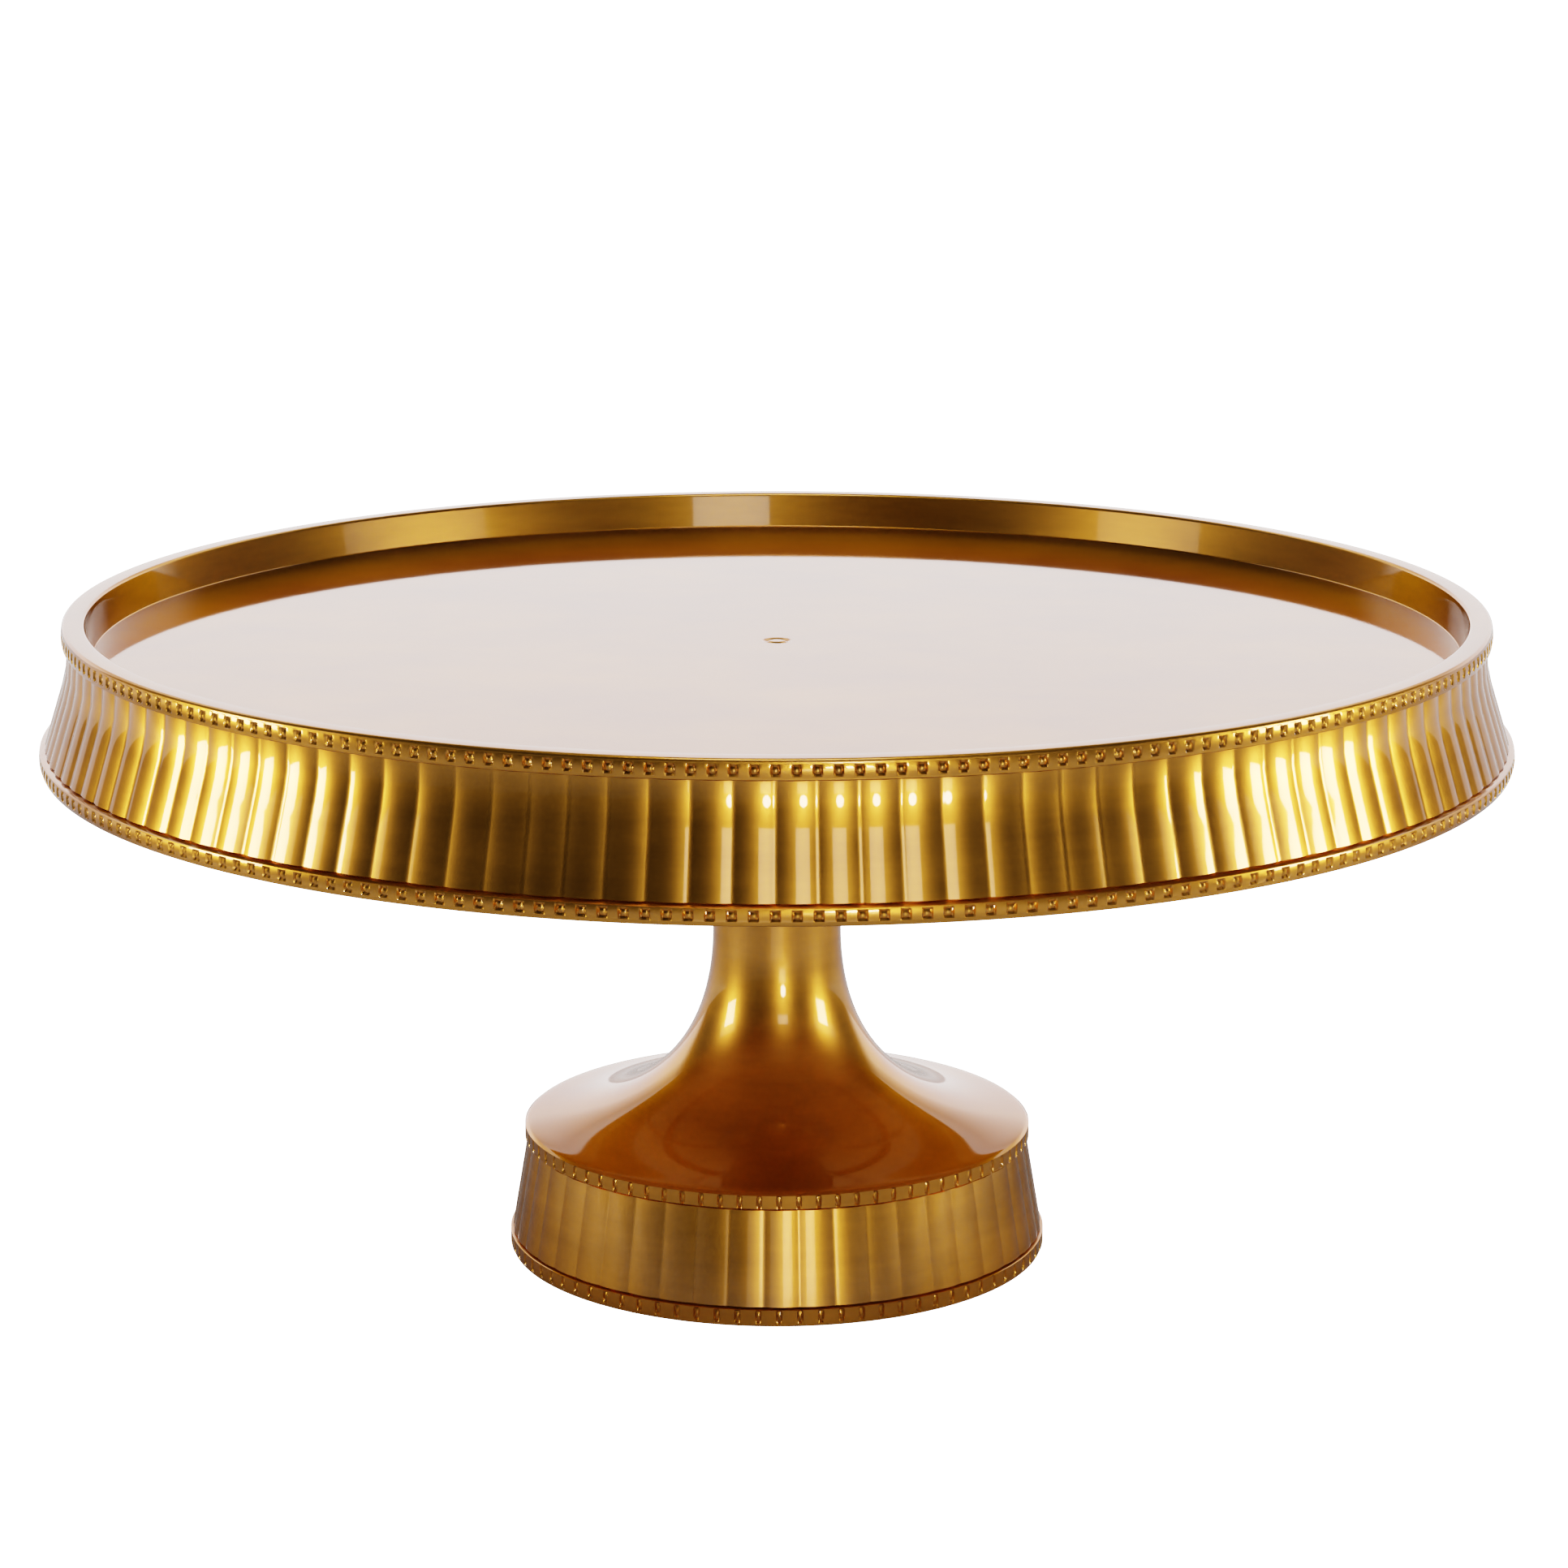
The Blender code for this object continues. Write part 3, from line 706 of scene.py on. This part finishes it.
def pedestal_mesh(low, high):
    """Turn the pedestal: spigot, shoulder, neck, trumpet, drum and the inside."""
    coarse = PEDESTAL_COLUMNS
    reeded = DRUM_REEDS * DRUM_REED_COLUMNS
    body = Turned(DRUM_AZIMUTH)
    spigot = rounded([
        (SPIGOT_BORE_RADIUS, high.z, 0.0),
        (SPIGOT_RADIUS, high.z, 0.5 * MM),
        (SPIGOT_RADIUS, SHOULDER_HEIGHT, 0.4 * MM),
        (SHOULDER_RADIUS, SHOULDER_HEIGHT, 0.5 * MM),
        (SHOULDER_RADIUS, SHOULDER_HEIGHT - SHOULDER_EDGE, 0.0),
    ])
    body.follow(spigot[:-1] + neck_flare() + trumpet(0.0), coarse)
    body.follow([(DRUM_UPPER_RADIUS - 0.25 * MM, DRUM_UPPER_TOP + 0.2 * MM)], coarse)
    drum_band(body, DRUM_UPPER_RADIUS, DRUM_UPPER_TOP, DRUM_UPPER_BOTTOM)
    body.ring(DRUM_UPPER_RADIUS - 0.3 * MM, DRUM_UPPER_BOTTOM - 0.2 * MM, coarse)
    reeds = reed_relief(reeded, DRUM_REEDS, DRUM_REED_DEPTH)
    body.ring(DRUM_REED_TOP[0] - 0.5 * MM, DRUM_REED_TOP[1] + 0.2 * MM, reeded)
    for reed_radius, height in line(DRUM_REED_TOP, DRUM_REED_BOTTOM, DRUM_REED_STEPS):
        body.ring(reed_radius, height, reeded, reeds)
    body.ring(DRUM_REED_BOTTOM[0] - 0.7 * MM, DRUM_REED_BOTTOM[1] - 0.3 * MM, reeded, reeds)
    ledge = rounded([
        (DRUM_REED_BOTTOM[0] - 0.7 * MM, DRUM_REED_BOTTOM[1] - 0.5 * MM, 0.0),
        (DRUM_LOWER_RADIUS - 0.2 * MM, DRUM_LOWER_TOP + 0.12 * MM, 0.1 * MM),
        (DRUM_LOWER_RADIUS, DRUM_LOWER_TOP, 0.0),
    ])
    body.follow(ledge[1:-1], coarse)
    drum_band(body, DRUM_LOWER_RADIUS, DRUM_LOWER_TOP, DRUM_LOWER_BOTTOM)
    inside = rounded([
        (DRUM_LOWER_RADIUS - 0.3 * MM, DRUM_LOWER_BOTTOM - 0.1 * MM, 0.0),
        (DRUM_LOWER_RADIUS - 0.3 * MM, low.z, 0.3 * MM),
        (DRUM_LOWER_RADIUS - PEDESTAL_WALL, low.z, 0.3 * MM),
        (DRUM_REED_BOTTOM[0] - PEDESTAL_WALL, DRUM_REED_BOTTOM[1], 0.0),
        (TRUMPET_EDGE[0] - PEDESTAL_WALL, TRUMPET_EDGE[1] - PEDESTAL_WALL - MM, 0.0),
    ])
    body.follow(inside, coarse)
    under = [point for point in reversed(trumpet(PEDESTAL_WALL)) if point[0] > BORE_RADIUS + 0.3 * MM]
    bore = [(BORE_RADIUS, TRUMPET_TOP), (BORE_RADIUS, NECK_TOP),
            (SPIGOT_BORE_RADIUS, NECK_TOP + PEDESTAL_WALL)]
    body.follow(under + bore, coarse)
    body.close()
    return body.mesh("pedestal_moulding")


# ---------------------------------------------------------------- lock

LOCK_COUNT = 3
LOCK_LEAD = 18.0 * MM
LEDGE_SPAN = 50.0
LEDGE_INNER_RADIUS = 17.9 * MM
LEDGE_TOP = 127.0 * MM
LEDGE_THICKNESS = 4.0 * MM
STOP_SPAN = 3.0
STOP_HEIGHT = 4.0 * MM
LUG_SPAN = 40.0
LUG_OUTER_RADIUS = 20.6 * MM
LUG_THICKNESS = 3.5 * MM
LOCK_WALL_INNER_RADIUS = 21.3 * MM
LOCK_WALL_OUTER_RADIUS = 24.8 * MM
FLANGE_THICKNESS = 2.7 * MM
FLANGE_HOLE_RADIUS = 2.1 * MM
GAP = 0.3 * MM
LUG_ROOT = 0.5 * MM
LUG_EDGE = 0.3 * MM
LOCK_RING_COLUMNS = 144
WASHER_WIDTH = 6.6 * MM
WASHER_EDGE = 0.4 * MM
WASHER_COLUMNS = 120
SCREW_HEAD_RADIUS = 3.4 * MM
SCREW_HEAD_HEIGHT = 2.2 * MM
SCREW_CROWN_SHARE = 0.72
SCREW_SHANK_RADIUS = 1.4 * MM
SCREW_TIP = 2.0 * MM
SCREW_COLUMNS = 48
RECESS_LENGTH = 3.6 * MM
RECESS_WIDTH = 0.9 * MM
CROSS_DEPTH = 1.2 * MM


def lock_azimuths():
    """Give the azimuths at which the lock's lugs and ledges sit when it is tight."""
    return [360.0 * number / LOCK_COUNT for number in range(LOCK_COUNT)]


def spigot_lugs_mesh():
    """Make the three lugs that stand out from the pedestal's spigot."""
    lugs = [helical_mesh("lug", SPIGOT_RADIUS - LUG_ROOT, LUG_OUTER_RADIUS, LEDGE_TOP + GAP,
                         LEDGE_TOP + GAP + LUG_THICKNESS, azimuth, -LUG_SPAN / 2.0, LUG_SPAN / 2.0)
            for azimuth in lock_azimuths()]
    return joined_mesh("spigot_lugs", lugs[0], lugs[1:], (), LUG_EDGE)


def lock_ring_mesh(low, high):
    """Make the flanged ring with its ledges, their stops and the screw holes."""
    flange_bottom = high.z - FLANGE_THICKNESS
    outline = rounded([
        (LOCK_WALL_INNER_RADIUS, high.z, 0.0),
        (high.x, high.z, 0.4 * MM),
        (high.x, flange_bottom, 0.4 * MM),
        (LOCK_WALL_OUTER_RADIUS, flange_bottom, 0.8 * MM),
        (LOCK_WALL_OUTER_RADIUS, low.z, 0.3 * MM),
        (LOCK_WALL_INNER_RADIUS, low.z, 0.0),
    ])
    ring = turned_mesh("lock_ring_body", outline, LOCK_RING_COLUMNS)
    wall_middle = (LOCK_WALL_INNER_RADIUS + LOCK_WALL_OUTER_RADIUS) / 2.0
    stop_start = LUG_SPAN / 2.0 + STOP_SPAN / 2.0
    blocks = []
    for azimuth in lock_azimuths():
        blocks.append(helical_mesh("ledge", LEDGE_INNER_RADIUS, wall_middle, LEDGE_TOP - LEDGE_THICKNESS,
                                   LEDGE_TOP, azimuth, -LEDGE_SPAN / 2.0, LEDGE_SPAN / 2.0))
        blocks.append(helical_mesh("stop", LEDGE_INNER_RADIUS, wall_middle,
                                   LEDGE_TOP - LEDGE_THICKNESS / 2.0, LEDGE_TOP + STOP_HEIGHT, azimuth,
                                   stop_start, stop_start + STOP_SPAN))
    holes = [rod("screw_hole", FLANGE_HOLE_RADIUS, flange_bottom - MM, high.z + MM, HOLE_COLUMNS,
                 on_circle(SCREW_CIRCLE_RADIUS, azimuth, 0.0)) for azimuth in screw_places()]
    return joined_mesh("lock_ring_moulding", ring, blocks, holes)


def washer_mesh(low, high):
    """Make the soft washer with rounded edges."""
    inner = high.x - WASHER_WIDTH
    middle = (low.z + high.z) / 2.0
    outline = rounded([
        (inner, middle, 0.0), (inner, high.z, WASHER_EDGE), (high.x, high.z, WASHER_EDGE),
        (high.x, low.z, WASHER_EDGE), (inner, low.z, WASHER_EDGE), (inner, middle - 0.01 * MM, 0.0),
    ])
    return turned_mesh("washer", outline, WASHER_COLUMNS)


def screw_mesh(low, high):
    """Make a pan-head screw, head down, with a cross in its head."""
    seat = low.z + SCREW_HEAD_HEIGHT
    outline = rounded([
        (0.0, high.z, 0.0),
        (SCREW_SHANK_RADIUS, high.z - SCREW_TIP, 0.0),
        (SCREW_SHANK_RADIUS, seat, 0.2 * MM),
        (SCREW_HEAD_RADIUS, seat, 0.2 * MM),
        (SCREW_HEAD_RADIUS, seat - SCREW_HEAD_HEIGHT / 2.0, 0.3 * MM),
        (SCREW_HEAD_RADIUS * SCREW_CROWN_SHARE, low.z, 0.5 * MM),
        (0.0, low.z, 0.0),
    ])
    body = turned_mesh("screw_body", outline, SCREW_COLUMNS, closed=False)
    cross = [bar_mesh("cross", -RECESS_LENGTH / 2.0, RECESS_LENGTH / 2.0, RECESS_WIDTH, low.z - MM,
                      low.z + CROSS_DEPTH, turn) for turn in (45.0, 135.0)]
    made = joined_mesh("screw", body, (), cross)
    made.transform(Matrix.Translation(((low.x + high.x) / 2.0, (low.y + high.y) / 2.0, 0.0)))
    return made


# ---------------------------------------------------------------- studio

# The room's brightness by azimuth, and the factor on it by elevation, both in degrees.
ROOM_STRENGTH = 4.0
ROOM_AROUND = [(-180, 1.0), (-136, 1.0), (-128, 0.08), (-112, 0.04), (-20, 0.0), (20, 0.0), (110, 0.04),
               (126, 0.08), (136, 1.0), (180, 1.0)]
ROOM_UPWARD = [(0, 0.58), (13, 0.60), (16, 0.62), (19, 0.46), (24, 0.26), (30, 0.45), (44, 0.45), (48, 0.0)]
OVERHEAD_SIZE = 0.5
OVERHEAD_RADIANCE = 6.0
OVERHEAD_ELEVATION = 78.0
OVERHEAD_DISTANCE = 1.5
SWEEP_START = 0.08
SWEEP_END = 0.45
SWEEP_GLOW = 0.9
HOLLOW_RADIUS = 60.0 * MM
HOLLOW_GLOW = 0.8
FLOOR_LIFT = 5.0
FLOOR_HALF_SIDE = 12.0
FLOOR_GREY = 0.66
FLOOR_DROP = 0.2 * MM
FILM_WHITE = 4.0
FILM_CONTRAST = 1.4
FILM_KNEE = 0.465
FILM_STEPS = 14
BACKDROP_WHITE = 1.5 * FILM_WHITE
COMBINED_CURVE = 3
CAMERA_DISTANCE = 1.0496
CAMERA_HEIGHT = 0.3564
CAMERA_PITCH = math.radians(12.98)
CAMERA_LENS = 102.7
CAMERA_SENSOR = 36.0
CAMERA_SHIFT = 0.0045


def studio_camera():
    """Place the camera in front of the stand, looking a little down."""
    data = bpy.data.cameras.new("studio_camera")
    data.lens = CAMERA_LENS
    data.sensor_width = CAMERA_SENSOR
    data.shift_x = CAMERA_SHIFT
    camera = bpy.data.objects.new("studio_camera", data)
    camera.location = (0.0, -CAMERA_DISTANCE, CAMERA_HEIGHT)
    camera.rotation_euler = (math.pi / 2.0 - CAMERA_PITCH, 0.0, 0.0)
    bpy.context.scene.collection.objects.link(camera)
    bpy.context.scene.camera = camera


def film_response():
    """Give the picture deep shadows and soft highlights, as a camera does."""
    view = bpy.context.scene.view_settings
    view.view_transform = 'Standard'
    view.use_curve_mapping = True
    mapping = view.curve_mapping
    mapping.white_level = (FILM_WHITE, FILM_WHITE, FILM_WHITE)
    curve = mapping.curves[COMBINED_CURVE]
    scale = (FILM_WHITE ** FILM_CONTRAST + FILM_KNEE) / FILM_WHITE ** FILM_CONTRAST
    for step in range(1, FILM_STEPS):
        light = FILM_WHITE * (step / FILM_STEPS) ** 3
        shown = scale * light ** FILM_CONTRAST / (light ** FILM_CONTRAST + FILM_KNEE)
        curve.points.new(light / FILM_WHITE, shown)
    mapping.update()


def direction(azimuth, elevation=0.0):
    """Give the unit vector towards an azimuth and an elevation."""
    a = math.radians(azimuth)
    e = math.radians(elevation)
    return Vector((math.sin(a) * math.cos(e), -math.cos(a) * math.cos(e), math.sin(e)))


def panel(name, azimuth, distance, width, bottom, top, radiance, shape='RECTANGLE'):
    """Add an upright light that faces the stand's axis."""
    light = bpy.data.lights.new(name, 'AREA')
    light.shape = shape
    light.size = width
    light.size_y = top - bottom
    light.energy = radiance * math.pi * width * (top - bottom)
    holder = bpy.data.objects.new(name, light)
    away = direction(azimuth)
    holder.location = away * distance + Vector((0.0, 0.0, (bottom + top) / 2.0))
    holder.rotation_euler = (-away).to_track_quat('-Z', 'Y').to_euler()
    holder.visible_camera = False
    bpy.context.scene.collection.objects.link(holder)


def overhead_light():
    """Add the soft light high in front that draws the bright lines along the rims."""
    light = bpy.data.lights.new("overhead", 'AREA')
    light.size = OVERHEAD_SIZE
    light.energy = OVERHEAD_RADIANCE * math.pi * OVERHEAD_SIZE ** 2
    holder = bpy.data.objects.new("overhead", light)
    towards = direction(0.0, OVERHEAD_ELEVATION)
    holder.location = towards * OVERHEAD_DISTANCE
    holder.rotation_euler = (-towards).to_track_quat('-Z', 'Y').to_euler()
    holder.visible_camera = False
    bpy.context.scene.collection.objects.link(holder)


def ramp_node(tree, levels, first, last):
    """Add a colour ramp through (place, level) pairs between two places."""
    node = add_node(tree, "ShaderNodeValToRGB")
    ramp = node.color_ramp
    while len(ramp.elements) < len(levels):
        ramp.elements.new(0.5)
    for element, (place, level) in zip(ramp.elements, levels):
        element.position = (place - first) / (last - first)
        element.color = (level, level, level, 1.0)
    return node


def studio_world():
    """Surround the stand with a bright backdrop behind it and a dim room in front."""
    world = bpy.data.worlds.new("studio")
    world.use_nodes = True
    bpy.context.scene.world = world
    tree = world.node_tree
    tree.nodes.clear()
    link = tree.links.new
    place = add_node(tree, "ShaderNodeTexCoord")
    split = add_node(tree, "ShaderNodeSeparateXYZ")
    link(place.outputs["Generated"], split.inputs["Vector"])
    flip = add_node(tree, "ShaderNodeMath", {1: -1.0}, operation='MULTIPLY')
    link(split.outputs["Y"], flip.inputs[0])
    turn = add_node(tree, "ShaderNodeMath", operation='ARCTAN2')
    link(split.outputs["X"], turn.inputs[0])
    link(flip.outputs[0], turn.inputs[1])
    share = add_node(tree, "ShaderNodeMapRange", {"From Min": -math.pi, "From Max": math.pi})
    link(turn.outputs[0], share.inputs["Value"])
    around = ramp_node(tree, ROOM_AROUND, -180.0, 180.0)
    link(share.outputs["Result"], around.inputs["Fac"])
    rise = add_node(tree, "ShaderNodeMath", operation='ARCSINE')
    link(split.outputs["Z"], rise.inputs[0])
    lift = add_node(tree, "ShaderNodeMapRange", {"From Min": 0.0, "From Max": math.pi / 2.0})
    link(rise.outputs[0], lift.inputs["Value"])
    upward = ramp_node(tree, ROOM_UPWARD, 0.0, 90.0)
    link(lift.outputs["Result"], upward.inputs["Fac"])
    both = add_node(tree, "ShaderNodeVectorMath", operation='MULTIPLY')
    link(around.outputs["Color"], both.inputs[0])
    link(upward.outputs["Color"], both.inputs[1])
    background = add_node(tree, "ShaderNodeBackground", {"Strength": ROOM_STRENGTH})
    link(both.outputs["Vector"], background.inputs["Color"])
    white = add_node(tree, "ShaderNodeBackground", {
        "Color": (1.0, 1.0, 1.0, 1.0), "Strength": BACKDROP_WHITE})
    path = add_node(tree, "ShaderNodeLightPath")
    mix = add_node(tree, "ShaderNodeMixShader")
    output = add_node(tree, "ShaderNodeOutputWorld")
    link(path.outputs["Is Camera Ray"], mix.inputs["Fac"])
    link(background.outputs["Background"], mix.inputs[1])
    link(white.outputs["Background"], mix.inputs[2])
    link(mix.outputs["Shader"], output.inputs["Surface"])


def studio_floor():
    """Lay a plain pale floor under the stand. It can be seen through from below.

    Reflections see it glow behind the stand, and it lights the pedestal's hollow from below.
    """
    mesh = bpy.data.meshes.new("studio_floor")
    half = FLOOR_HALF_SIDE
    mesh.from_pydata([(-half, -half, 0.0), (half, -half, 0.0), (half, half, 0.0), (-half, half, 0.0)], [],
                     [(0, 1, 2, 3)])
    material, tree = new_material("studio_floor")
    link = tree.links.new
    shader = add_node(tree, "ShaderNodeBsdfDiffuse", {"Color": (FLOOR_GREY, FLOOR_GREY, FLOOR_GREY, 1.0)})
    path = add_node(tree, "ShaderNodeLightPath")
    place = add_node(tree, "ShaderNodeTexCoord")
    split = add_node(tree, "ShaderNodeSeparateXYZ")
    sweep = add_node(tree, "ShaderNodeMapRange", {
        "From Min": SWEEP_START, "From Max": SWEEP_END, "To Min": 0.0, "To Max": SWEEP_GLOW})
    away = add_node(tree, "ShaderNodeVectorMath", operation='LENGTH')
    hollow = add_node(tree, "ShaderNodeMath", {1: HOLLOW_RADIUS}, operation='LESS_THAN')
    seen = add_node(tree, "ShaderNodeMath", {1: HOLLOW_GLOW}, operation='MULTIPLY_ADD')
    lift = add_node(tree, "ShaderNodeMix", {"B": FLOOR_LIFT})
    glow = add_node(tree, "ShaderNodeEmission")
    both = add_node(tree, "ShaderNodeAddShader")
    clear = add_node(tree, "ShaderNodeBsdfTransparent")
    side = add_node(tree, "ShaderNodeNewGeometry")
    mix = add_node(tree, "ShaderNodeMixShader")
    output = add_node(tree, "ShaderNodeOutputMaterial")
    link(place.outputs["Object"], split.inputs["Vector"])
    link(split.outputs["Y"], sweep.inputs["Value"])
    link(path.outputs["Is Camera Ray"], lift.inputs["Factor"])
    link(place.outputs["Object"], away.inputs[0])
    link(away.outputs["Value"], hollow.inputs[0])
    link(hollow.outputs[0], seen.inputs[0])
    link(sweep.outputs["Result"], seen.inputs[2])
    link(seen.outputs[0], lift.inputs["A"])
    link(lift.outputs["Result"], glow.inputs["Strength"])
    link(shader.outputs["BSDF"], both.inputs[0])
    link(glow.outputs["Emission"], both.inputs[1])
    link(side.outputs["Backfacing"], mix.inputs["Fac"])
    link(both.outputs["Shader"], mix.inputs[1])
    link(clear.outputs["BSDF"], mix.inputs[2])
    link(mix.outputs["Shader"], output.inputs["Surface"])
    mesh.materials.append(material)
    floor = bpy.data.objects.new("studio_floor", mesh)
    floor.location.z = -FLOOR_DROP
    bpy.context.scene.collection.objects.link(floor)


def studio_lights():
    """Set a bright box and a dimmer one above it at each side, and the lights in front.

    Each panel has an azimuth, a distance, a width, a bottom, a top and a radiance.
    """
    panel("left_box", -75.0, 0.51, 0.125, 0.118, 0.215, 14.5)
    panel("left_top", -76.0, 0.90, 0.36, 0.29, 0.42, 1.6)
    panel("right_box", 72.0, 0.52, 0.135, 0.118, 0.218, 15.5)
    panel("right_top", 74.0, 0.90, 0.50, 0.30, 0.42, 1.2)
    panel("front_light", 10.0, 0.90, 0.13, 0.10, 0.19, 24.0, 'ELLIPSE')
    panel("front_card", 9.0, 0.91, 0.18, 0.0, 0.09, 3.5)
    panel("front_strip", 9.0, 0.91, 0.24, 0.34, 0.48, 4.5)
    panel("low_card", 0.0, 0.32, 0.12, 0.0, 0.03, 0.8)
    overhead_light()


# ---------------------------------------------------------------- assembly

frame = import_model()
mounts = {mount["name"]: mount for mount in frame["record"]["mounts"]}
floor_level = mounts["tray_floor"]["pos_m"][2]
plate_low, plate_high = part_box("cake_plate")
pedestal_low, pedestal_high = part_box("pedestal")

plate_gold = gold_plastic("plate_gold", GOLD, 0.0)
pedestal_gold = gold_plastic("pedestal_gold", GOLD, 3.0)
lock_plastic = plain_material("lock_plastic", LOCK_GOLD, 0.45, 0.5, 900.0, 0.00005)
soft_rubber = plain_material("soft_rubber", RUBBER_BLACK, 0.7, 0.0, 1500.0, 0.00005)
screw_steel = plain_material("screw_steel", STEEL_GREY, 0.3, 1.0, 2500.0, 0.00002)

add_piece("cake_plate_moulding", cake_plate_mesh(plate_low, plate_high, floor_level), plate_gold, "tray",
          "cake_plate", MOULDING_CREASE_ANGLE)
add_piece("tray_ribs", tray_ribs_mesh(floor_level), plate_gold, "tray", "cake_plate")
add_piece("pedestal_moulding", pedestal_mesh(pedestal_low, pedestal_high), pedestal_gold, "pedestal",
          "pedestal", MOULDING_CREASE_ANGLE)
add_piece("spigot_lugs", spigot_lugs_mesh(), pedestal_gold, "pedestal", "pedestal")
add_piece("lock_ring_moulding", lock_ring_mesh(*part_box("lock_ring")), lock_plastic, "tray",
          "lock_ring")
add_piece("friction_washer", washer_mesh(*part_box("friction_ring")), soft_rubber, "washer",
          "friction_ring")
for number in range(1, SCREW_COUNT + 1):
    node = f"lock_screw_{number}"
    add_piece(f"pan_head_screw_{number}", screw_mesh(*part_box(node)), screw_steel, "tray",
              node)

film_response()
studio_world()
studio_floor()
studio_lights()
studio_camera()
